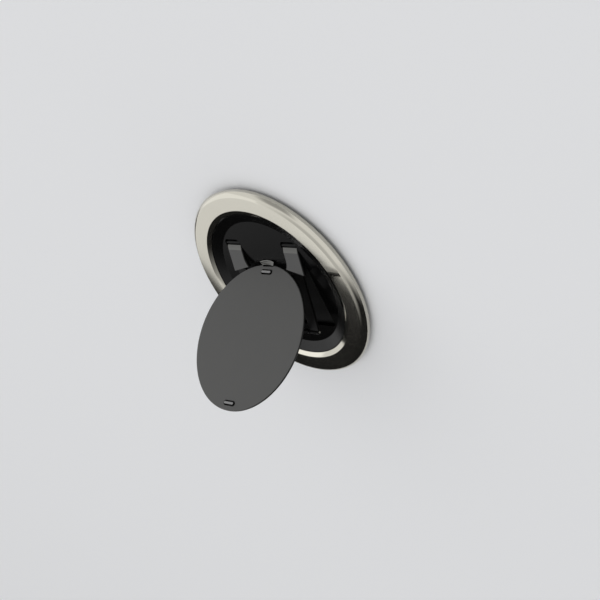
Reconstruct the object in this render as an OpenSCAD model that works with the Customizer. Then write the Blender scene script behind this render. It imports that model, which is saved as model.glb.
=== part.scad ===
// Magnetic phone grip: a round base holds a recessed, Z-folding stand.
// A U-shaped frame, an A-shaped strut and a grip disc are hinged in a chain.
// The disc's top edge slides over the recess floor while the stand opens.
// Origin: centre of the back face. +Z points out of the phone, +X runs along the hinges.

/* [Base] */
// Radius of the trim ring's widest band
ring_r = 26.45; // [25:0.05:30]
// Height of the ring's front face above the phone
base_h = 3.4; // [3.2:0.1:5]
// Width of the ring's rounded shoulder
shoulder_w = 1.25; // [0.9:0.05:1.6]
// Depth of the shoulder's lower edge under the front face
shoulder_drop = 1.2; // [0.9:0.05:1.4]
// Slope at which the shoulder leaves the front face
shoulder_slope = 17; // [5:1:25]
// Width of the flat front face
face_w = 3.65; // [3:0.05:4.5]
// Width of the ring's inner bevel
bevel_w = 1.15; // [0.8:0.05:1.5]
// Depth of the inner bevel
bevel_drop = 0.45; // [0.3:0.05:0.6]
// Width of the ring's widest band
rim_band = 1.1; // [0.6:0.05:1.2]
// Inward lean of that band
rim_lean = 0.3; // [0.1:0.05:0.5]
// Inset of the ring's foot under the widest band
foot_inset = 0.85; // [0.6:0.05:1.1]
// Thickness of the ring's outer wall
ring_wall = 1.45; // [1.3:0.05:1.8]
// Thickness of the trim ring's top
ring_top_t = 0.95; // [0.8:0.05:1.1]
// Inset of the soft contact pad from the widest band
pad_inset = 2.25; // [1.8:0.05:3]
// Thickness of the soft contact pad
pad_t = 0.3; // [0.2:0.05:0.5]
// Thickness of the back cover
cover_t = 0.5; // [0.4:0.05:0.8]

/* [Recess] */
// Width of the sloping bezel round the floor
bezel_w = 2.6; // [2:0.05:3.2]
// Depth of the floor under the front face
floor_depth = 1.4; // [1.3:0.05:1.6]
// Width of the groove between the ring and the bezel
mouth_gap = 0.2; // [0.1:0.01:0.3]
// Drop of the bezel's rim under the foot of the ring's bevel
lip_drop = 0.05; // [0.02:0.01:0.1]
// Angle at which the corners of the pocket lie round the centre
corner_angle = 43.84; // [40:0.02:46]
// Least width of the floor outside those corners
floor_margin = 0.06; // [0.05:0.01:0.5]
// Corner radius of the pocket
pocket_corner = 1.1; // [0.3:0.05:1.2]
// Distance from the centre to the end of the tongue between the channels
tongue_end = 5.3; // [5.2:0.05:6]
// Corner radius of the tongue
tongue_corner = 2.7; // [1:0.1:4]
// Space at each side of the arms in their channels
channel_side = 0.25; // [0.15:0.01:0.4]
// Distance of the cover screws from the ring's opening
screw_inset = 1.2; // [0.8:0.1:1.6]
// Radius of the cover screws
screw_r = 0.5; // [0.35:0.05:0.6]
// Radius of the screws' heads
screw_head_r = 1; // [0.8:0.1:1.3]
// Thickness of the screws' heads
screw_head_t = 0.25; // [0.2:0.01:0.3]
// Length of the screws inside the recess pan
screw_grip = 1; // [0.6:0.1:1.1]

/* [Stand] */
// Distance of the frame's hinge from the upper ends of the channels
hinge_inset = 1.15; // [0.9:0.05:1.4]
// Distance of the strut's hinge from the lower wall of the pocket
knee_inset = 0.95; // [0.7:0.05:1.2]
// Side space between the arms and the dipping edge of the disc
arm_gap = 1.26; // [0.9:0.01:1.6]
// Thickness of the frame and the strut
link_t = 0.6; // [0.5:0.05:0.7]
// Thickness of the plates on the arms
plate_t = 0.35; // [0.25:0.05:0.4]
// Width of each rail below the arms
rail_w = 3; // [2.2:0.1:3.4]
// Distance of the arms' slanted ends behind the opened disc's face
arm_end_gap = 0.52; // [0.3:0.01:1]
// Slant of the arms' ends
arm_skew = 1.15; // [0:0.05:1.6]
// Width of the flare at the arms' inner corners
arm_flare = 0.8; // [0.3:0.05:1]
// Radius of that flare
flare_r = 4; // [2:0.5:8]
// Length of the ramp of each arm plate at its hinge
ramp_len = 1.3; // [0.5:0.1:1.6]
// Drop of that ramp
ramp_drop = 0.22; // [0.1:0.01:0.24]
// Length of the ramp's steeper nose
nose_len = 0.7; // [0.3:0.05:1]
// Drop from the plate to that nose
nose_drop = 0.07; // [0.02:0.01:0.12]
// Space between the opened disc's back and the frame's cross bar
bar_gap = 0.6; // [0.4:0.05:1.2]
// Width of the cross bar
bar_w = 1.6; // [0.8:0.1:2]
// Size of the gussets at the cross bar
gusset = 1.2; // [0.5:0.1:1.6]
// Angle of the opened strut to the floor
strut_open = 67.1; // [60:0.1:72]
// Side space between the strut and the frame's rails
rail_gap = 0.3; // [0.2:0.05:0.6]
// Half width of the strut at the disc
strut_head = 2.6; // [2:0.1:3]
// Width of the strut's legs
leg_w = 1.5; // [1:0.1:1.8]
// Place of the strut's cross bar, from its lower hinge
rung_at = 4.6; // [3:0.1:6]
// Depth of the arms' pins in the recess pan
pin_seat = 1; // [0.5:0.1:1.5]
// Radius of the hinge pins
pin_r = 0.25; // [0.2:0.01:0.3]
// Outer radius of the hinge barrels
barrel_r = 0.55; // [0.5:0.01:0.6]
// Running clearance of a pin in its barrel
pin_gap = 0.04; // [0.02:0.01:0.06]

/* [Grip disc] */
// Overhang of the folded disc's edge over the bezel's foot
disc_over = 0.3; // [0.1:0.05:0.5]
// Thickness of the grip disc
disc_t = 0.8; // [0.7:0.05:0.9]
// Tilt of the opened disc
disc_open = 54.5; // [50:0.5:60]
// Depth of the closed disc under the ring's front face
disc_sink = 0.3; // [0.2:0.05:0.4]
// Clearance of the opened disc's edge over the floor
edge_gap = 0.14; // [0.1:0.01:0.3]
// Distance of the disc's hinge from its centre
hinge_offset = 0.28; // [0:0.02:1]
// Distance of the slots from the disc's edge
slot_inset = 1.8; // [1.6:0.1:3]
// Length of each slot
slot_len = 4; // [3:0.1:6]
// Width of each slot
slot_w = 1.3; // [1.1:0.05:1.6]
// Depth of each slot
slot_depth = 0.6; // [0.3:0.05:0.65]
// Space round the pin in each slot
slot_gap = 0.3; // [0.2:0.05:0.4]
// Rise of the slot pins above the disc's front
slot_pin_rise = 0.28; // [0.1:0.02:0.4]
// Chamfer of the disc's front edge
front_chamfer = 0.12; // [0.05:0.01:0.2]
// Chamfer of the disc's back edge
back_chamfer = 0.3; // [0.2:0.05:0.4]
// Thickness of the bracket's foot plate
bracket_t = 0.3; // [0.2:0.01:0.35]
// Length of the bracket's foot plate
bracket_len = 3.6; // [2.8:0.1:3.8]
// Width of the foot plate outside the ears
bracket_wing = 1.5; // [1.2:0.1:3]
// Side space between the strut and the bracket's ears
ear_gap = 0.2; // [0.1:0.05:0.4]
// Width of the ears
ear_w = 1.2; // [0.8:0.1:1.4]
// Radius of the bracket's rivets
rivet_r = 0.35; // [0.25:0.05:0.4]
// Height of the rivets' heads
rivet_head_t = 0.2; // [0.1:0.02:0.25]
// Depth of the rivets in the disc
rivet_grip = 0.48; // [0.3:0.02:0.6]
// Width of the lift tab at the disc
tab_root_w = 3.8; // [3:0.1:5]
// Width of the lift tab at its tip
tab_tip_w = 5.8; // [4:0.1:8]
// Radius of the steps on the lift tab, seen from the front
tab_arc = 6; // [4:0.5:12]
// Number of steps on the lift tab
tab_steps = 3; // [2:1:4]
// Reach of the lift tab past the disc's edge
tab_reach = 0.9; // [0.5:0.02:0.92]
// Rise of the lift tab above the disc's front
tab_rise = 0.74; // [0.7:0.02:1]
// Depth of the tab's root inside the disc's edge
tab_root = 0.2; // [0.1:0.05:0.3]
// Height of that root
tab_skirt = 0.5; // [0.3:0.05:0.5]
// Height of the tab's blunt tip
tab_lip = 0.07; // [0.05:0.01:0.1]
// Length of the notch in front of the tab's root
tab_notch = 0.5; // [0.2:0.05:0.6]
// Depth of that notch
tab_notch_depth = 0.3; // [0.15:0.05:0.35]

/* [Magnets] */
// Number of magnets in the ring
magnet_count = 16; // [12:1:20]
// Thickness of the magnets
magnet_t = 1.1; // [0.9:0.05:1.2]
// Distance of the magnets from the ring's opening
magnet_inset = 1.5; // [1.2:0.1:2]
// Gap between neighbouring magnets, in degrees
magnet_split = 1.2; // [0.4:0.1:3]
// Radius of the latch magnets
latch_r = 1.2; // [0.8:0.1:1.4]
// Thickness of the latch magnets
latch_t = 0.9; // [0.6:0.1:1]

/* [Hidden] */

$fn = 96;
seat = 0.1; // clearance between fitted pieces of the base
over = 1; // overshoot of the cuts
tiny = 0.01;

cover_z = pad_t;
core_z = pad_t + cover_t;
face_z = base_h;
floor_z = base_h - floor_depth;
rim_high = base_h - shoulder_drop;
rim_low = rim_high - rim_band;
ring_under_z = base_h - ring_top_t;
disc_z = base_h - disc_sink;
disc_back_z = disc_z - disc_t;
hinge_z = core_z + barrel_r;
link_top_z = hinge_z + link_t / 2;
plate_z = link_top_z + plate_t;

face_r = ring_r - shoulder_w;
face_inner_r = face_r - face_w;
mouth_r = face_inner_r - bevel_w;
pan_r = mouth_r - mouth_gap;
floor_r = pan_r - bezel_w;
disc_r = floor_r + disc_over;
foot_r = ring_r - foot_inset;
pad_r = ring_r - pad_inset;
magnet_inner = mouth_r + magnet_inset;
magnet_outer = ring_r - ring_wall - seat;
screw_at = mouth_r - screw_inset;
slot_at = disc_r - slot_inset;

// The pocket's corners lie just inside the floor's edge, and the hinges just inside the pocket
corner_r = floor_r - floor_margin;
pocket_half = corner_r * cos(corner_angle);
pocket_end = corner_r * sin(corner_angle);
frame_hinge_y = pocket_end - hinge_inset;
knee_y = knee_inset - pocket_end;
strut_end_y = -hinge_offset;
frame_len = frame_hinge_y - knee_y;
strut_len = strut_end_y - knee_y;

// The frame's tilt puts the opened disc's lowest edge at its clearance over the floor
edge_level = disc_back_z + back_chamfer - hinge_z;
edge_drop = (disc_r + hinge_offset) * sin(disc_open) - edge_level * cos(disc_open);
disc_hinge_z = floor_z + edge_gap + edge_drop;
frame_open = asin((disc_hinge_z - hinge_z - strut_len * sin(strut_open)) / frame_len);
knee_open = [0, frame_hinge_y - frame_len * cos(frame_open), hinge_z + frame_len * sin(frame_open)];
disc_hinge_open = knee_open + [0, strut_len * cos(strut_open), strut_len * sin(strut_open)];

// Seen along the frame, the disc leans by this angle and passes the arms between its two faces
lean = disc_open - frame_open;
frame_hinge = [0, frame_hinge_y, hinge_z];
disc_in_frame = frame_hinge + turned_by(frame_open, disc_hinge_open - frame_hinge);
back_cross_y = cross_y(disc_back_z - hinge_z, link_top_z);
face_cross_y = cross_y(disc_z - hinge_z, plate_z);
dip = disc_r - in_plane(disc_z - hinge_z, plate_z);
dip_half = sqrt(disc_r * disc_r - (disc_r - dip) * (disc_r - dip));

arm_inner = dip_half + arm_gap;
arm_outer = pocket_half - channel_side;
arm_w = arm_outer - arm_inner;
mid_arm = arm_outer - arm_w / 2;
arm_end = face_cross_y - arm_end_gap;
rail_outer = mid_arm + rail_w / 2;
rail_inner = mid_arm - rail_w / 2;
bar_y = back_cross_y - bar_gap - bar_w;
strut_foot = rail_inner - rail_gap;
leg_end_y = strut_end_y - leg_w / 2;
tongue_half = arm_inner - channel_side;
ear_inner = strut_head + ear_gap;
ear_outer = ear_inner + ear_w;
bracket_half = ear_outer + bracket_wing;
rivet_x = ear_outer + bracket_wing / 2;
rivet_y = bracket_len * 0.3;
plate_start = frame_hinge_y - barrel_r - tiny;
tab_section = concat(
  [[-tab_root, -tab_skirt], [0, -tab_skirt], [tab_reach, tab_rise - tab_lip]],
  [for (i = [0:tab_steps - 1]) each [
    [tab_reach * (1 - i / tab_steps), tab_rise * (1 - i / tab_steps)],
    [tab_reach * (1 - (i + 1) / tab_steps), tab_rise * (1 - i / tab_steps)]
  ]],
  [[0, 0], [-tab_root, 0]]
);

// A vector turned about X
function turned_by(a, v) = [v.x, v.y * cos(a) - v.z * sin(a), v.y * sin(a) + v.z * cos(a)];
// Where the opened disc's plane at a level over its hinge meets the height z: in the plane, and along Y
function in_plane(level, z) = (disc_in_frame.z + level * cos(lean) - z) / sin(lean) - hinge_offset;
function cross_y(level, z) =
  disc_in_frame.y + level * sin(lean) + (in_plane(level, z) + hinge_offset) * cos(lean);

function arc(centre, r, a0, a1, n) =
  [for (i = [0:n]) centre + r * [cos(a0 + (a1 - a0) * i / n), sin(a0 + (a1 - a0) * i / n)]];
// An arc from p to q that leaves p at a downward slope
function sloped_arc(p, q, slope, n) =
  let (chord = q - p, fall = atan2(-chord.y, chord.x), r = norm(chord) / 2 / sin(fall - slope))
  arc(p - r * [sin(slope), cos(slope)], r, 90 - slope, 90 - 2 * fall + slope, n);

// Turns a child from the folded place about its hinge, and puts that hinge where the open stand has it
module about_hinge(folded, opened, turn) {
  translate(opened) rotate([turn, 0, 0]) translate(-folded) children();
}
module on_frame() about_hinge(frame_hinge, frame_hinge, -frame_open) children();
module on_strut() about_hinge([0, knee_y, hinge_z], knee_open, strut_open) children();
module on_disc() about_hinge([0, strut_end_y, hinge_z], disc_hinge_open, -disc_open) children();

module bar_x(x0, x1, y, z, r) translate([x0, y, z]) rotate([0, 90, 0]) cylinder(h = x1 - x0, r = r);
module slab(z0, z1) translate([0, 0, z0]) linear_extrude(z1 - z0) children();
module both_sides() { children(); mirror([1, 0, 0]) children(); }
module pill(length, width) {
  square([length - width, width], center = true);
  for (side = [-1, 1]) translate([side * (length - width) / 2, 0]) circle(d = width);
}
module round_box(half_x, half_y, r) {
  square([2 * half_x - 2 * r, 2 * half_y], center = true);
  square([2 * half_x, 2 * half_y - 2 * r], center = true);
  for (sx = [-1, 1], sy = [-1, 1]) translate([sx * (half_x - r), sy * (half_y - r)]) circle(r = r);
}

// The turned metal ring: flat face, inner bevel, rounded shoulder, leaning rim and undercut foot
module trim_ring() color([0.70, 0.68, 0.62]) rotate_extrude($fn = 180) polygon(concat(
  [[mouth_r, ring_under_z], [mouth_r, face_z - bevel_drop], [face_inner_r, face_z]],
  sloped_arc([face_r, face_z], [ring_r, rim_high], shoulder_slope, 8),
  [[ring_r - rim_lean, rim_low], [foot_r, core_z],
   [magnet_outer + seat, core_z], [magnet_outer + seat, ring_under_z]]
));

// The pocket of the stand, with a tongue of floor left between the two channels
module pocket_outline() difference() {
  round_box(pocket_half, pocket_end, pocket_corner);
  tongue_outline();
  both_sides() translate([tongue_half, pocket_end - pocket_corner]) difference() {
    translate([-tiny, 0]) square(pocket_corner + tiny);
    translate([pocket_corner, 0]) circle(r = pocket_corner);
  }
}
module tongue_outline() {
  straight = tongue_half - tongue_corner;
  translate([-tongue_half, tongue_end + tongue_corner]) square([2 * tongue_half, pocket_end]);
  translate([-straight, tongue_end]) square([2 * straight, pocket_end]);
  for (side = [-1, 1]) translate([side * straight, tongue_end + tongue_corner]) circle(r = tongue_corner);
}

module screw_places() for (a = [45:90:315]) rotate(a) translate([screw_at, 0, 0]) children();
module latch_places() for (side = [-1, 1]) translate([0, side * slot_at, 0]) children();

// The moulded dish: sloping bezel, floor, hinge channels and the pocket of the stand
module recess_pan() color([0.09, 0.09, 0.09]) difference() {
  rotate_extrude($fn = 180) polygon([
    [0, core_z], [magnet_inner - seat, core_z], [magnet_inner - seat, ring_under_z], [pan_r, ring_under_z],
    [pan_r, face_z - bevel_drop - lip_drop], [floor_r, floor_z], [0, floor_z]
  ]);
  slab(core_z - over, floor_z + over) pocket_outline();
  both_sides() arm_pin_bar();
  screw_places() translate([0, 0, core_z - over]) cylinder(h = over + screw_grip, r = screw_r);
  latch_places() translate([0, 0, core_z - over]) cylinder(h = over + latch_t, r = latch_r);
}

module back_cover() color([0.11, 0.11, 0.11]) difference() {
  translate([0, 0, cover_z]) cylinder(h = cover_t, r1 = pad_r + seat, r2 = foot_r - seat, $fn = 180);
  screw_places() translate([0, 0, cover_z - over]) cylinder(h = cover_t + 2 * over, r = screw_r);
  screw_places() translate([0, 0, cover_z - over]) cylinder(h = over + screw_head_t, r = screw_head_r);
}

module contact_pad() color([0.16, 0.16, 0.17]) cylinder(h = pad_t, r = pad_r, $fn = 180);

module magnet_ring() color([0.62, 0.62, 0.64]) {
  step = 360 / magnet_count;
  for (i = [0:magnet_count - 1]) rotate(i * step) translate([0, 0, core_z])
    rotate_extrude(angle = step - magnet_split, $fn = 180) translate([magnet_inner, 0])
      square([magnet_outer - magnet_inner, magnet_t]);
}

module shield_ring() color([0.45, 0.46, 0.48]) translate([0, 0, core_z + magnet_t]) rotate_extrude($fn = 180)
  translate([magnet_inner, 0]) square([magnet_outer - magnet_inner, ring_under_z - core_z - magnet_t]);

module cover_screws() color([0.3, 0.3, 0.31]) screw_places() {
  translate([0, 0, cover_z]) cylinder(h = screw_head_t, r = screw_head_r);
  translate([0, 0, cover_z]) cylinder(h = cover_t + screw_grip, r = screw_r);
}

module latch_magnets() color([0.62, 0.62, 0.64]) latch_places()
  translate([0, 0, core_z]) cylinder(h = latch_t, r = latch_r);

module arm_pin_bar() bar_x(arm_inner - pin_seat, arm_outer + pin_seat, frame_hinge_y, hinge_z, pin_r);
module right_arm_pin() color([0.6, 0.6, 0.6]) arm_pin_bar();
module left_arm_pin() mirror([1, 0, 0]) right_arm_pin();

// The outline of an arm: its end is slanted, and its inner corner flares towards the middle
module arm_outline() {
  slant = arm_skew / arm_w;
  inner_end = arm_end + arm_skew / 2;
  flare_end = inner_end + slant * arm_flare;
  flare_turn = acos(1 - arm_flare / flare_r);
  polygon(concat(
    [[arm_inner, frame_hinge_y], [arm_outer, frame_hinge_y], [arm_outer, inner_end - arm_skew]],
    arc([arm_inner - flare_r, flare_end + flare_r * sin(flare_turn)], flare_r, -flare_turn, 0, 8)
  ));
}

// The U-shaped frame: two arms, two narrower rails, a cross bar and the knuckles of both hinges
module arm_frame() on_frame() color([0.20, 0.20, 0.20]) difference() {
  union() {
    slab(hinge_z - link_t / 2, link_top_z) {
      both_sides() arm_outline();
      both_sides() translate([rail_inner, knee_y]) square([rail_w, arm_end - knee_y]);
      translate([-rail_inner - tiny, bar_y]) square([2 * rail_inner + 2 * tiny, bar_w]);
      both_sides() translate([rail_inner, bar_y])
        polygon([[tiny, -gusset], [tiny, tiny], [-gusset, tiny]]);
    }
    both_sides() bar_x(arm_inner, arm_outer, frame_hinge_y, hinge_z, barrel_r);
    both_sides() bar_x(rail_inner, rail_outer, knee_y, hinge_z, barrel_r);
  }
  both_sides() bar_x(arm_inner - over, arm_outer + over, frame_hinge_y, hinge_z, pin_r + pin_gap);
  both_sides() bar_x(rail_inner - over, rail_outer + over, knee_y, hinge_z, pin_r);
}

// A thin cover plate on each arm, with a ramp down to the hinge and an oblique end that clears the disc
module right_arm_plate() on_frame() color([0.34, 0.34, 0.34]) intersection() {
  slab(hinge_z, plate_z + over) arm_outline();
  rotate([90, 0, 90]) linear_extrude(arm_outer + over) polygon([
    [0, link_top_z], [plate_start, link_top_z], [plate_start, plate_z - ramp_drop],
    [plate_start - nose_len, plate_z - nose_drop], [plate_start - ramp_len, plate_z], [0, plate_z]
  ]);
}
module left_arm_plate() mirror([1, 0, 0]) right_arm_plate();

module strut_pin() on_frame() color([0.6, 0.6, 0.6]) bar_x(-rail_outer, rail_outer, knee_y, hinge_z, pin_r);

// The A-shaped strut: a long barrel at the frame, two legs that close in, and a short barrel at the disc
module strut() on_strut() color([0.16, 0.16, 0.16]) difference() {
  union() {
    slab(hinge_z - link_t / 2, link_top_z) {
      both_sides() polygon([
        [strut_foot - leg_w, knee_y], [strut_foot, knee_y],
        [strut_head, leg_end_y], [strut_head, strut_end_y],
        [strut_head - leg_w, strut_end_y], [strut_head - leg_w, leg_end_y]
      ]);
      rung_half = strut_foot - leg_w / 2 - (strut_foot - strut_head) * rung_at / (leg_end_y - knee_y);
      translate([-rung_half, knee_y + rung_at]) square([2 * rung_half, leg_w]);
    }
    bar_x(-strut_foot, strut_foot, knee_y, hinge_z, barrel_r);
    bar_x(-strut_head, strut_head, strut_end_y, hinge_z, barrel_r);
  }
  bar_x(-strut_foot - over, strut_foot + over, knee_y, hinge_z, pin_r + pin_gap);
  bar_x(-strut_head - over, strut_head + over, strut_end_y, hinge_z, pin_r + pin_gap);
}

module disc_pin() on_disc() color([0.6, 0.6, 0.6]) bar_x(-ear_outer, ear_outer, strut_end_y, hinge_z, pin_r);

// The grip disc: a turned plate with broken edges, two slots and the notch of the lift tab
module grip_disc() on_disc() color([0.35, 0.35, 0.35]) difference() {
  rotate_extrude($fn = 180) polygon([
    [0, disc_back_z], [disc_r - back_chamfer, disc_back_z], [disc_r, disc_back_z + back_chamfer],
    [disc_r, disc_z - front_chamfer], [disc_r - front_chamfer, disc_z], [0, disc_z]
  ]);
  for (side = [-1, 1]) translate([0, side * slot_at, disc_z - slot_depth])
    linear_extrude(slot_depth + over) pill(slot_len, slot_w);
  translate([-tab_root_w / 2, disc_r - tab_notch, disc_z - tab_notch_depth])
    cube([tab_root_w, tab_notch + over, tab_notch_depth + over]);
  rivet_places() translate([0, 0, disc_back_z - over]) cylinder(h = rivet_grip + over, r = rivet_r);
}

// A flat pin with round ends, seated on the floor of its slot and a little proud of the disc
module slot_bar(side) translate([0, side * slot_at, disc_z - slot_depth])
  linear_extrude(slot_depth + slot_pin_rise) pill(slot_len - 2 * slot_gap, slot_w - 2 * slot_gap);
module upper_slot_pin() on_disc() color([0.62, 0.62, 0.62]) slot_bar(1);
module lower_slot_pin() on_disc() color([0.62, 0.62, 0.62]) slot_bar(-1);

// The bracket on the disc's back: a foot plate with two ears that carry the hinge pin
module disc_bracket() on_disc() color([0.2, 0.2, 0.2]) difference() {
  union() {
    slab(disc_back_z - bracket_t, disc_back_z) translate([0, strut_end_y])
      square([2 * bracket_half, bracket_len], center = true);
    both_sides() bar_x(ear_inner, ear_outer, strut_end_y, hinge_z, barrel_r);
    both_sides() translate([ear_inner, strut_end_y - barrel_r, hinge_z])
      cube([ear_w, 2 * barrel_r, disc_back_z - hinge_z]);
  }
  both_sides() bar_x(ear_inner - over, ear_outer + over, strut_end_y, hinge_z, pin_r);
  rivet_places() translate([0, 0, disc_back_z - bracket_t - tiny])
    cylinder(h = bracket_t + 2 * tiny, r = rivet_r);
}

module rivet_places() for (sx = [-1, 1], sy = [-1, 1])
  translate([sx * rivet_x, strut_end_y + sy * rivet_y, 0]) children();
module bracket_rivets() on_disc() color([0.5, 0.5, 0.5]) rivet_places() {
  translate([0, 0, disc_back_z - bracket_t - rivet_head_t]) cylinder(h = rivet_head_t, r = 1.6 * rivet_r);
  translate([0, 0, disc_back_z - bracket_t]) cylinder(h = bracket_t + rivet_grip, r = rivet_r);
}

// The finger tab at the disc's upper edge: curved steps that flare outwards and up, clear of the recess floor
module lift_tab() on_disc() color([0.42, 0.42, 0.41]) difference() {
  intersection() {
    translate([0, disc_r - tab_arc, disc_z]) rotate(45) rotate_extrude(angle = 90, $fn = 240)
      translate([tab_arc, 0]) polygon(tab_section);
    slab(disc_back_z, disc_z + over) polygon([
      [-tab_root_w / 2, disc_r - over], [tab_root_w / 2, disc_r - over],
      [tab_root_w / 2, disc_r - tab_root], [tab_tip_w / 2, disc_r + tab_reach],
      [-tab_tip_w / 2, disc_r + tab_reach], [-tab_root_w / 2, disc_r - tab_root]
    ]);
  }
  translate([0, 0, disc_back_z - over]) cylinder(h = disc_t + over, r = disc_r, $fn = 180);
}

trim_ring();
recess_pan();
back_cover();
contact_pad();
magnet_ring();
shield_ring();
cover_screws();
left_arm_pin();
right_arm_pin();
latch_magnets();
arm_frame();
left_arm_plate();
right_arm_plate();
strut_pin();
strut();
disc_pin();
grip_disc();
disc_bracket();
bracket_rivets();
lift_tab();
upper_slot_pin();
lower_slot_pin();
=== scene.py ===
import math

import bmesh
import bpy
import numpy as np
from mathutils import Matrix, Vector


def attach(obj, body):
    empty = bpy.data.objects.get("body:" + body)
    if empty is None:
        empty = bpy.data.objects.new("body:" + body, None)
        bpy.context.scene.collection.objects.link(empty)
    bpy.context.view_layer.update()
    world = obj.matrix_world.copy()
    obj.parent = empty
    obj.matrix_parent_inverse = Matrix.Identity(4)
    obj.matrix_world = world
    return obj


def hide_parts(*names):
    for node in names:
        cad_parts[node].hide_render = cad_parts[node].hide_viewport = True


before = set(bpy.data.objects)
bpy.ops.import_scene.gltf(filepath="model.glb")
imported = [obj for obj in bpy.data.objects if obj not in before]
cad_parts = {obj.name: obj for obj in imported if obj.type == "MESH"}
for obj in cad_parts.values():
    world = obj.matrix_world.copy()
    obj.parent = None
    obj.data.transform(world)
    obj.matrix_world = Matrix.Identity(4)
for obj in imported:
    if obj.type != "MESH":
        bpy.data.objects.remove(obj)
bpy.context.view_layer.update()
mm = 0.001
print("frame loaded:", len(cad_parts), "nodes")


# helpers for colours and nodes

def linearColour(hexCode):
    # the sRGB transfer curve, channel by channel: a straight foot, and a power of 2.4 above it
    srgb = np.array([int(hexCode[i:i + 2], 16) for i in (1, 3, 5)]) / 255
    curve = np.where(srgb <= 0.04045, srgb / 12.92, ((srgb + 0.055) / 1.055) ** 2.4)
    return (*curve.tolist(), 1.0)


def addNode(tree, kind, settings=None, sockets=None):
    # settings are the node's own options, sockets are values, or another node's output to link
    made = tree.nodes.new(kind)
    for name, value in (settings or {}).items():
        setattr(made, name, value)
    for name, value in (sockets or {}).items():
        if isinstance(value, bpy.types.NodeSocket):
            tree.links.new(value, made.inputs[name])
        else:
            made.inputs[name].default_value = value
    return made


def finish(name, look):
    # look holds colour, metallic, roughness and, where the real surface has them, specular (its level),
    # cloud (second colour, size in mm, share), haze (size in mm, how far the roughness wanders)
    # and grain (size in mm, height in mm), drawn as coarse as the picture needs: real grit is finer
    made = bpy.data.materials.new(name)
    made.use_nodes = True
    tree = made.node_tree
    tree.nodes.clear()
    shader = addNode(tree, "ShaderNodeBsdfPrincipled", None, {
        "Base Color": linearColour(look["colour"]), "Metallic": look["metallic"],
        "Roughness": look["roughness"], "Specular IOR Level": look.get("specular", 0.5)})
    addNode(tree, "ShaderNodeOutputMaterial", None, {"Surface": shader.outputs["BSDF"]})
    place = addNode(tree, "ShaderNodeTexCoord").outputs["Object"]
    if "cloud" in look:
        second, size, share = look["cloud"]
        cloud = addNode(tree, "ShaderNodeTexNoise", None, {
            "Vector": place, "Scale": 1 / (size * mm), "Detail": 3.0, "Roughness": 0.55})
        part = addNode(tree, "ShaderNodeMath", {"operation": "MULTIPLY"}, {
            0: cloud.outputs["Fac"], 1: share})
        blend = addNode(tree, "ShaderNodeMix", {"data_type": "RGBA"}, {
            0: part.outputs[0], 6: linearColour(look["colour"]), 7: linearColour(second)})
        tree.links.new(blend.outputs[2], shader.inputs["Base Color"])
    if "haze" in look:
        size, wander = look["haze"]
        haze = addNode(tree, "ShaderNodeTexNoise", None, {
            "Vector": place, "Scale": 1 / (size * mm), "Detail": 2.0})
        # most of the noise lies between 0.3 and 0.7
        spread = addNode(tree, "ShaderNodeMapRange", None, {
            "Value": haze.outputs["Fac"], "From Min": 0.3, "From Max": 0.7,
            "To Min": look["roughness"] - wander, "To Max": look["roughness"] + wander})
        tree.links.new(spread.outputs["Result"], shader.inputs["Roughness"])
    if "grain" in look:
        size, height = look["grain"]
        speck = addNode(tree, "ShaderNodeTexNoise", None, {
            "Vector": place, "Scale": 1 / (size * mm), "Detail": 2.0, "Roughness": 0.6})
        bump = addNode(tree, "ShaderNodeBump", None, {
            "Height": speck.outputs["Fac"], "Strength": 1.0, "Distance": height * mm})
        tree.links.new(bump.outputs["Normal"], shader.inputs["Normal"])
    return made


# helpers for meshes

def dress(piece, material, body, node, sharpOver):
    # outward normals, smooth faces, edges kept sharp above an angle in degrees, then its body and its node
    shape = bmesh.new()
    shape.from_mesh(piece.data)
    bmesh.ops.recalc_face_normals(shape, faces=shape.faces)
    for face in shape.faces:
        face.smooth = True
    for edge in shape.edges:
        edge.smooth = edge.calc_face_angle(0) < math.radians(sharpOver)
    shape.to_mesh(piece.data)
    shape.free()
    piece.data.materials.clear()
    piece.data.materials.append(material)
    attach(piece, body)
    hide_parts(node)
    return piece


def roundedPath(corners, radii, steps=6):
    # a closed polyline with arcs at its corners: an arc touches both legs at radius / tan(half angle), and
    # its points turn from the first touching point to the last by the sines of the shares of its sweep
    path = []
    count = len(corners)
    for i in range(count):
        before, here, after = (np.array(corners[j % count], float) for j in (i - 1, i, i + 1))
        if radii[i] == 0:
            path.append(here[None])
            continue
        u, v = before - here, after - here
        u, v = u / np.linalg.norm(u), v / np.linalg.norm(v)
        half = math.acos(np.clip(u @ v, -1, 1)) / 2
        cut = radii[i] / math.tan(half)
        middle = here + (u + v) / np.linalg.norm(u + v) * radii[i] / math.sin(half)
        first, last = here + u * cut - middle, here + v * cut - middle
        sweep = math.pi - 2 * half
        t = np.linspace(0, 1, steps + 1)[:, None]
        path.append(middle + (first * np.sin((1 - t) * sweep) + last * np.sin(t * sweep)) / math.sin(sweep))
    return np.concatenate(path)


def turned(path, steps):
    # surface of revolution about Z: (r cos a, r sin a, z) over a closed profile (r, z) and a full turn of a
    angle = np.linspace(0, 2 * math.pi, steps, endpoint=False)
    r, z = path[:, 0][:, None], path[:, 1][:, None]
    points = np.stack([r * np.cos(angle), r * np.sin(angle), z + 0 * angle], -1).reshape(-1, 3)
    n, m = len(path), steps
    i, j = np.arange(n)[:, None], np.arange(m)[None, :]
    right, below = (j + 1) % m, (i + 1) % n
    quad = np.stack([i * m + j, i * m + right, below * m + right, below * m + j], -1)
    return points * mm, quad.reshape(-1, 4).tolist()


merging = {"distance": 0.0001, "flat": 0.4}


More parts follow.
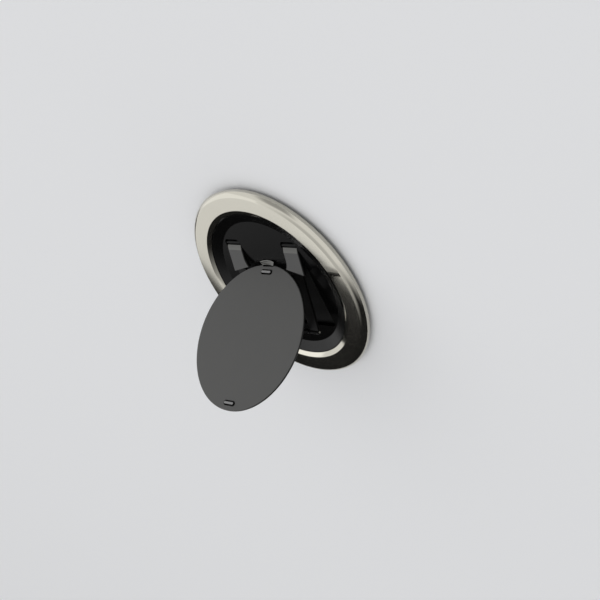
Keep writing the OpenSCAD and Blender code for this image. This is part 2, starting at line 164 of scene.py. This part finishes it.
def softened(node, name, material, body, edges):
    # a merged copy of a solid with its flat faces joined: edges over `over` degrees are rounded across
    # `width` mm, and edges over `crease` degrees, or else over `over`, stay sharp in the shading
    piece = bpy.data.objects.new(name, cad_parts[node].data.copy())
    bpy.context.scene.collection.objects.link(piece)
    shape = bmesh.new()
    shape.from_mesh(piece.data)
    bmesh.ops.remove_doubles(shape, verts=shape.verts, dist=merging["distance"] * mm)
    flat = math.radians(merging["flat"])
    bmesh.ops.dissolve_limit(shape, angle_limit=flat, verts=shape.verts, edges=shape.edges)
    shape.to_mesh(piece.data)
    shape.free()
    dress(piece, material, body, node, edges.get("crease", edges["over"]))
    bevel = piece.modifiers.new("softEdges", "BEVEL")
    bevel.width = edges["width"] * mm
    bevel.segments = edges["segments"]
    bevel.limit_method = "ANGLE"
    bevel.angle_limit = math.radians(edges["over"])
    bevel.harden_normals = True
    return piece


def secondFinish(piece, material, rule):
    # faces whose middles, in mm, and normals meet the rule take a second material
    faces = piece.data.polygons
    middles, normals = np.empty(3 * len(faces)), np.empty(3 * len(faces))
    faces.foreach_get("center", middles)
    faces.foreach_get("normal", normals)
    chosen = rule(middles.reshape(-1, 3) / mm, normals.reshape(-1, 3))
    piece.data.materials.append(material)
    faces.foreach_set("material_index", chosen.astype(np.int32))


# the turned ring

# champagne anodised aluminium: a warm grey metal that mirrors the studio clearly, with a faint satin haze
anodisedChampagne = finish("anodisedChampagne", {
    "colour": "#C9C6BB", "metallic": 1.0, "roughness": 0.09, "cloud": ("#BFBCB1", 6, 0.4),
    "haze": (9, 0.01), "grain": (0.12, 0.0001)})

ring = {
    "mouth": (20.4, 2.45), "bevelFoot": (20.4, 2.95), "bevelTop": (21.55, 3.4), "faceEdge": (25.2, 3.4),
    "rimTop": (26.45, 2.2), "rimFoot": (26.15, 1.1), "foot": (25.6, 0.8), "wallFoot": (25.0, 0.8),
    "wallTop": (25.0, 2.45), "shoulderSlope": 17, "shoulderSteps": 16, "steps": 360, "sharp": 60,
    # arc radii in mm: mouth, bevel's foot and top, face's edge, then rim's top and foot, foot, wall's
    # foot and top
    "arcs": ([0, 0.05, 0.09, 0.12], [0.05, 0.06, 0.1, 0.05, 0]),
}


def shoulderArc():
    # arc that leaves the face's edge at a slope: its radius is chord / (2 sin(fall - slope)), and its points
    # are middle + radius (sin s, cos s), with s from the slope to twice the chord's fall less the slope
    start, end = np.array(ring["faceEdge"]), np.array(ring["rimTop"])
    chord = end - start
    slope = math.radians(ring["shoulderSlope"])
    fall = math.atan2(-chord[1], chord[0])
    radius = np.linalg.norm(chord) / 2 / math.sin(fall - slope)
    middle = start - radius * np.array([math.sin(slope), math.cos(slope)])
    s = np.linspace(slope, 2 * fall - slope, ring["shoulderSteps"] + 1)
    return middle + radius * np.stack([np.sin(s), np.cos(s)], -1)


def ringProfile():
    # the ring's corners with small arcs, and the shoulder's arc between the flat face and the rim
    shoulder = shoulderArc().tolist()
    corners = [ring["mouth"], ring["bevelFoot"], ring["bevelTop"], *shoulder,
               ring["rimFoot"], ring["foot"], ring["wallFoot"], ring["wallTop"]]
    inner, outer = ring["arcs"]
    radii = inner + [0] * (len(shoulder) - 2) + outer
    return roundedPath(corners, radii)


def turnRing():
    points, faces = turned(ringProfile(), ring["steps"])
    mesh = bpy.data.meshes.new("trimRing")
    mesh.from_pydata(points, [], faces)
    piece = bpy.data.objects.new("trimRing", mesh)
    bpy.context.scene.collection.objects.link(piece)
    dress(piece, anodisedChampagne, "base", "trim_ring", ring["sharp"])


turnRing()
print("ring turned")


# the base

# finely textured black polycarbonate: a floor that swallows light, with a dim even shine
texturedPolycarbonate = finish("texturedPolycarbonate", {
    "colour": "#060606", "metallic": 0.0, "roughness": 0.17, "specular": 0.055,
    "cloud": ("#080808", 3, 0.6), "grain": (0.18, 0.0008)})
# the same plastic, polished on the bezel: black, with a soft grey gleam where it faces the light
polishedPolycarbonate = finish("polishedPolycarbonate", {
    "colour": "#060606", "metallic": 0.0, "roughness": 0.2, "specular": 0.2,
    "cloud": ("#080808", 3, 0.6), "grain": (0.18, 0.0004)})
# moulded black cover: dull, with a fine sparkle of grain
mattCover = finish("mattCover", {
    "colour": "#0D0D0D", "metallic": 0.0, "roughness": 0.6, "specular": 0.15,
    "cloud": ("#090909", 4, 0.7), "grain": (0.15, 0.004)})
# dark silicone: soft and flat to the eye, a little uneven in shade
siliconePad = finish("siliconePad", {
    "colour": "#252527", "metallic": 0.0, "roughness": 0.72, "specular": 0.35,
    "cloud": ("#1D1D1F", 5, 0.8), "grain": (0.25, 0.006)})

dish = {"width": 0.05, "segments": 2, "over": 12, "floorRadius": 17.6, "floor": 2.0}
cover = {"width": 0.08, "segments": 2, "over": 32}
pad = {"width": 0.1, "segments": 3, "over": 32}


def onBezel(middles, normals):
    # the polished bezel lies outside the floor's radius, hypot(x, y), and above the floor
    outside = np.hypot(middles[:, 0], middles[:, 1]) > dish["floorRadius"]
    return outside & (middles[:, 2] > dish["floor"])


recessPan = softened("recess_pan", "recessPan", texturedPolycarbonate, "base", dish)
secondFinish(recessPan, polishedPolycarbonate, onBezel)
softened("back_cover", "backCover", mattCover, "base", cover)
softened("contact_pad", "contactPad", siliconePad, "base", pad)
print("base dressed")


# the stand

# stamped steel with a thin black coat: nearly lost in the recess, but for a faint sheen on its edges
coatedSteel = finish("coatedSteel", {
    "colour": "#080808", "metallic": 0.0, "roughness": 0.36, "specular": 0.1,
    "cloud": ("#070707", 2.5, 0.7), "grain": (0.14, 0.0016)})
# grey-coated plate: a smooth mid grey that takes the soft light evenly
greyCoatedPlate = finish("greyCoatedPlate", {
    "colour": "#343433", "metallic": 0.0, "roughness": 0.26, "specular": 0.4,
    "cloud": ("#303030", 2.5, 0.6), "grain": (0.12, 0.0008)})
# the same coat made paler as a painted highlight where the plate bends down to its hinge: a pale band on
# each arm
paintedRampHighlight = finish("paintedRampHighlight", {
    "colour": "#4B4B47", "metallic": 0.0, "roughness": 0.24, "specular": 0.5,
    "cloud": ("#474744", 1.5, 0.6), "grain": (0.12, 0.0006)})

links = {"width": 0.06, "segments": 2, "over": 32}
armPlate = {"width": 0.14, "segments": 3, "over": 30, "crease": 5, "tilt": 0.27}


def onRamp(middles, normals):
    # the ramp's facets lean more towards +Y than the plate's flat top does, and still face up: these faces
    # take the painted highlight
    return (normals[:, 1] > armPlate["tilt"]) & (normals[:, 2] > armPlate["tilt"])


softened("arm_frame", "armFrame", coatedSteel, "frame", links)
leftPlate = softened("left_arm_plate", "leftArmPlate", greyCoatedPlate, "frame", armPlate)
rightPlate = softened("right_arm_plate", "rightArmPlate", greyCoatedPlate, "frame", armPlate)
# the ramp faces of both plates take the painted highlight colour
secondFinish(leftPlate, paintedRampHighlight, onRamp)
secondFinish(rightPlate, paintedRampHighlight, onRamp)
softened("strut", "strutLink", coatedSteel, "strut", links)
print("stand dressed")


# the grip disc with its bracket, tab and slot pins

# bead-blasted aluminium, anodised dark grey: dull and even, with a very fine grain
blastedAluminium = finish("blastedAluminium", {
    "colour": "#4D4D4C", "metallic": 0.3, "roughness": 0.5,
    "cloud": ("#494948", 5, 0.6), "grain": (0.16, 0.0018)})
# black on the disc's edges, slots and back, a crisp black line round each grey face; on the tab and slot
# pins it is painted shade on the faces turned away from the disc's front
blackEdgeAndPaintedShade = finish("blackEdgeAndPaintedShade", {
    "colour": "#060606", "metallic": 0.0, "roughness": 0.4, "specular": 0.2,
    "cloud": ("#090909", 2, 0.6), "grain": (0.12, 0.001)})
# satin grey metal: the tab's steps catch the light as pale curved bands
satinTab = finish("satinTab", {
    "colour": "#6E6E6B", "metallic": 0.5, "roughness": 0.3,
    "cloud": ("#646462", 1.5, 0.6), "grain": (0.1, 0.0008)})
# ground steel of the slot pins: the lightest spots on the disc
slotSteel = finish("slotSteel", {
    "colour": "#828282", "metallic": 0.6, "roughness": 0.38,
    "cloud": ("#787878", 1.5, 0.6), "grain": (0.1, 0.001)})

# facing is the front plane's normal, frontLevel its distance from the origin, skin the depth below the front
# plane within which faces stay grey
gripDisc = {"width": 0.035, "segments": 2, "over": 32,
            "facing": (0, 0.81412, 0.5807), "frontLevel": 5.936, "skin": 0.12}
bracket = {"width": 0.05, "segments": 2, "over": 32}
# faces turned so far from the disc's front that the cosine falls below this take black as painted shade
tab = {"width": 0.03, "segments": 2, "over": 30, "crease": 12, "frontCosine": 0.9}
slotPin = {"width": 0.16, "segments": 3, "over": 40}


def underFace(middles, normals):
    # depth below the front plane, which is its level less p . n, past the skin
    return gripDisc["frontLevel"] - middles @ gripDisc["facing"] > gripDisc["skin"]


def offFront(middles, normals):
    # the cosine between a face and the disc's front is the product of their normals
    return normals @ gripDisc["facing"] < tab["frontCosine"]


disc = softened("grip_disc", "gripDisc", blastedAluminium, "disc", gripDisc)
# the disc's faces deeper than the skin below its front plane are black
secondFinish(disc, blackEdgeAndPaintedShade, underFace)
softened("disc_bracket", "discBracket", coatedSteel, "disc", bracket)
liftTab = softened("lift_tab", "liftTab", satinTab, "disc", tab)
upperPin = softened("upper_slot_pin", "upperSlotPin", slotSteel, "disc", slotPin)
lowerPin = softened("lower_slot_pin", "lowerSlotPin", slotSteel, "disc", slotPin)
# the tab's and slot pins' faces turned away from the disc's front are painted shade in black
for small in (liftTab, upperPin, lowerPin):
    secondFinish(small, blackEdgeAndPaintedShade, offFront)
print("disc dressed")


# the metal parts inside

# ground steel pins: bright ends at the hinges
groundSteel = finish("groundSteel", {
    "colour": "#A8A8A6", "metallic": 1.0, "roughness": 0.28,
    "cloud": ("#9A9A98", 1.5, 0.6), "grain": (0.1, 0.001)})
# nickel plate on the magnets: a cool, clear shine
nickelPlate = finish("nickelPlate", {
    "colour": "#B4B4B8", "metallic": 1.0, "roughness": 0.22,
    "cloud": ("#A6A6AA", 2, 0.6), "grain": (0.2, 0.001)})
# rolled steel of the shield: a duller grey with broad soft reflections
rolledSteel = finish("rolledSteel", {
    "colour": "#86878A", "metallic": 1.0, "roughness": 0.38,
    "cloud": ("#7A7B7E", 3, 0.7), "grain": (0.2, 0.002)})
# blackened screws and rivets: dark, with a weak metal gleam
blackenedScrew = finish("blackenedScrew", {
    "colour": "#3C3C3D", "metallic": 1.0, "roughness": 0.4,
    "cloud": ("#303031", 1.5, 0.7), "grain": (0.12, 0.002)})

innerFinishes = {
    "magnet_ring": nickelPlate, "latch_magnets": nickelPlate, "shield_ring": rolledSteel,
    "cover_screws": blackenedScrew, "left_arm_pin": groundSteel, "right_arm_pin": groundSteel,
    "strut_pin": groundSteel, "disc_pin": groundSteel, "bracket_rivets": blackenedScrew,
}
for node, material in innerFinishes.items():
    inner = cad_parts[node]
    inner.data.materials.clear()
    inner.data.materials.append(material)
print("inner parts dressed")


# floor, light and camera

studio = {
    "floor": "#E7E8EA", "floorSize": 6, "floorRoughness": 0.7,
    "fill": 0.76, "horizon": 1.0, "zenith": 0.68, "skyBand": (0.8, 1.0),
    "boxDistance": 0.9, "flagDistance": 1.4, "flagGrid": (48, 24), "flagSpill": 30, "flagFoot": -4,
    "topBox": {"azimuth": 40, "elevation": 70, "size": (0.5, 0.5), "radiance": 1.15, "mirrored": False},
    "sideBox": {"azimuth": 162, "elevation": 32, "size": (0.6, 0.7), "radiance": 0.23, "mirrored": True},
    "edgeBox": {"azimuth": -165, "elevation": 46, "size": (0.42, 0.3), "radiance": 0.25, "mirrored": True},
    # flags hold azimuth and elevation ranges in degrees over which each soft edge rises or falls
    "darkFlag": {"left": (-150.35, -148.75), "lean": 1.0, "leanFrom": 32.4, "right": (-50, 8),
                 "top": (42, 80), "cover": 0.985},
    "greyFlag": {"left": (60, 80), "lean": 0, "leanFrom": 0, "right": (98, 118),
                 "top": (30, 55), "cover": 0.55},
}
photoLens = {
    "lens": 83.98, "sensor": 36, "nearest": 0.01, "place": (249.59, 142.12, 172.25),
    "right": (0.6729, -0.4077, -0.6173), "up": (-0.0640, 0.7992, -0.5977), "back": (0.7370, 0.4417, 0.5116),
}


def palePlane():
    bpy.ops.mesh.primitive_plane_add(size=studio["floorSize"], location=(0, 0, 0))
    plane = bpy.context.object
    plane.name = "floor"
    made = bpy.data.materials.new("paleFloor")
    made.use_nodes = True
    shader = made.node_tree.nodes["Principled BSDF"]
    shader.inputs["Base Color"].default_value = linearColour(studio["floor"])
    shader.inputs["Roughness"].default_value = studio["floorRoughness"]
    plane.data.materials.append(made)


def direction(azimuth, elevation):
    # unit vector from azimuth and elevation in radians: (cos a cos e, sin a cos e, sin e)
    return np.stack([np.cos(azimuth) * np.cos(elevation), np.sin(azimuth) * np.cos(elevation),
                     np.sin(elevation)], -1)


def softbox(name):
    # an area light that looks at the object; its power is radiance times pi times its area
    box = studio[name]
    lamp = bpy.data.lights.new(name, "AREA")
    lamp.shape = "RECTANGLE"
    lamp.size, lamp.size_y = box["size"]
    lamp.energy = box["radiance"] * math.pi * lamp.size * lamp.size_y
    holder = bpy.data.objects.new(name, lamp)
    bpy.context.scene.collection.objects.link(holder)
    holder.visible_camera = False
    holder.visible_glossy = box["mirrored"]
    way = Vector(direction(math.radians(box["azimuth"]), math.radians(box["elevation"])))
    holder.location = way * studio["boxDistance"]
    holder.rotation_euler = (-way).to_track_quat("-Z", "Y").to_euler()


def flagCloth(name, flag):
    # black cloth that thins out at its edges: its opacity is cover times a smooth ramp for each edge; the
    # left edge moves by lean times the elevation above leanFrom
    made = bpy.data.materials.new(name + "Cloth")
    made.use_nodes = True
    tree = made.node_tree
    tree.nodes.clear()
    place = addNode(tree, "ShaderNodeTexCoord").outputs["Object"]
    xyz = addNode(tree, "ShaderNodeSeparateXYZ", None, {0: place})
    azimuth = addNode(tree, "ShaderNodeMath", {"operation": "ARCTAN2"},
                      {0: xyz.outputs[1], 1: xyz.outputs[0]})
    height = addNode(tree, "ShaderNodeMath", {"operation": "DIVIDE"},
                     {0: xyz.outputs[2], 1: studio["flagDistance"]})
    elevation = addNode(tree, "ShaderNodeMath", {"operation": "ARCSINE"}, {0: height.outputs[0]})
    lean = addNode(tree, "ShaderNodeMath", {"operation": "MULTIPLY_ADD"}, {
        0: elevation.outputs[0], 1: -flag["lean"], 2: flag["lean"] * math.radians(flag["leanFrom"])})
    leaned = addNode(tree, "ShaderNodeMath", {"operation": "ADD"},
                     {0: azimuth.outputs[0], 1: lean.outputs[0]})
    opacity = None
    for source, edge, rise in ((leaned, "left", 1), (azimuth, "right", 0), (elevation, "top", 0)):
        ramp = addNode(tree, "ShaderNodeMapRange", {"interpolation_type": "SMOOTHSTEP"}, {
            "Value": source.outputs[0], "From Min": math.radians(flag[edge][0]),
            "From Max": math.radians(flag[edge][1]), "To Min": 1 - rise, "To Max": rise})
        opacity = addNode(tree, "ShaderNodeMath", {"operation": "MULTIPLY"}, {
            0: ramp.outputs["Result"], 1: opacity.outputs[0] if opacity else flag["cover"]})
    clear = addNode(tree, "ShaderNodeBsdfTransparent")
    cloth = addNode(tree, "ShaderNodeBsdfDiffuse", None, {"Color": (0, 0, 0, 1)})
    mix = addNode(tree, "ShaderNodeMixShader", None,
                  {0: opacity.outputs[0], 1: clear.outputs[0], 2: cloth.outputs[0]})
    addNode(tree, "ShaderNodeOutputMaterial", None, {"Surface": mix.outputs[0]})
    return made


def softFlag(name):
    # part of a sphere about the object, seen by reflections alone: a point is the distance times the
    # direction (cos a cos e, sin a cos e, sin e) of its azimuth a and elevation e
    flag = studio[name]
    columns, rows = studio["flagGrid"]
    first, last = flag["left"][0] - studio["flagSpill"], flag["right"][1]
    azimuths = np.radians(np.linspace(first, last, columns))
    elevations = np.radians(np.linspace(studio["flagFoot"], flag["top"][1], rows))
    a, e = np.meshgrid(azimuths, elevations, indexing="ij")
    points = studio["flagDistance"] * direction(a, e).reshape(-1, 3)
    i, j = np.meshgrid(np.arange(columns - 1), np.arange(rows - 1), indexing="ij")
    corner = i * rows + j
    quad = np.stack([corner, corner + 1, corner + rows + 1, corner + rows], -1).reshape(-1, 4)
    mesh = bpy.data.meshes.new(name)
    mesh.from_pydata(points, [], quad.tolist())
    mesh.materials.append(flagCloth(name, flag))
    panel = bpy.data.objects.new(name, mesh)
    bpy.context.scene.collection.objects.link(panel)
    panel.visible_camera = False
    panel.visible_diffuse = False
    panel.visible_shadow = False


def paleWorld():
    # white to the camera; in reflections white at the horizon and greyer overhead, over the band of z in
    # skyBand; a little less as plain fill
    world = bpy.data.worlds.new("studio")
    bpy.context.scene.world = world
    world.use_nodes = True
    tree = world.node_tree
    tree.nodes.clear()
    ray = addNode(tree, "ShaderNodeLightPath")
    mirrored = addNode(tree, "ShaderNodeMath", {"operation": "MAXIMUM"}, {
        0: ray.outputs["Is Glossy Ray"], 1: ray.outputs["Is Transmission Ray"]})
    way = addNode(tree, "ShaderNodeTexCoord").outputs["Generated"]
    xyz = addNode(tree, "ShaderNodeSeparateXYZ", None, {0: way})
    level = addNode(tree, "ShaderNodeMapRange", {"interpolation_type": "SMOOTHSTEP"}, {
        "Value": xyz.outputs[2], "From Min": studio["skyBand"][0], "From Max": studio["skyBand"][1],
        "To Min": studio["horizon"], "To Max": studio["zenith"]})
    white = (1, 1, 1, 1)
    fill = addNode(tree, "ShaderNodeBackground", None, {"Color": white, "Strength": studio["fill"]})
    sky = addNode(tree, "ShaderNodeBackground", None, {"Color": white, "Strength": level.outputs["Result"]})
    view = addNode(tree, "ShaderNodeBackground", None, {"Color": white, "Strength": 1.0})
    lit = addNode(tree, "ShaderNodeMixShader", None,
                  {0: mirrored.outputs[0], 1: fill.outputs[0], 2: sky.outputs[0]})
    seen = addNode(tree, "ShaderNodeMixShader", None, {
        0: ray.outputs["Is Camera Ray"], 1: lit.outputs[0], 2: view.outputs[0]})
    addNode(tree, "ShaderNodeOutputWorld", None, {"Surface": seen.outputs[0]})


def photoCamera():
    # the rotation's columns are the view's right, up and back in the part's frame
    lens = bpy.data.cameras.new("camera")
    lens.lens, lens.sensor_width = photoLens["lens"], photoLens["sensor"]
    lens.clip_start = photoLens["nearest"]
    camera = bpy.data.objects.new("camera", lens)
    bpy.context.scene.collection.objects.link(camera)
    turn = Matrix((photoLens["right"], photoLens["up"], photoLens["back"])).transposed().to_4x4()
    camera.matrix_world = Matrix.Translation(Vector(photoLens["place"]) * mm) @ turn
    bpy.context.scene.camera = camera


palePlane()
paleWorld()
for box in ("topBox", "sideBox", "edgeBox"):
    softbox(box)
for flag in ("darkFlag", "greyFlag"):
    softFlag(flag)
photoCamera()
bpy.context.scene.view_settings.view_transform = "Standard"
print("stage set")
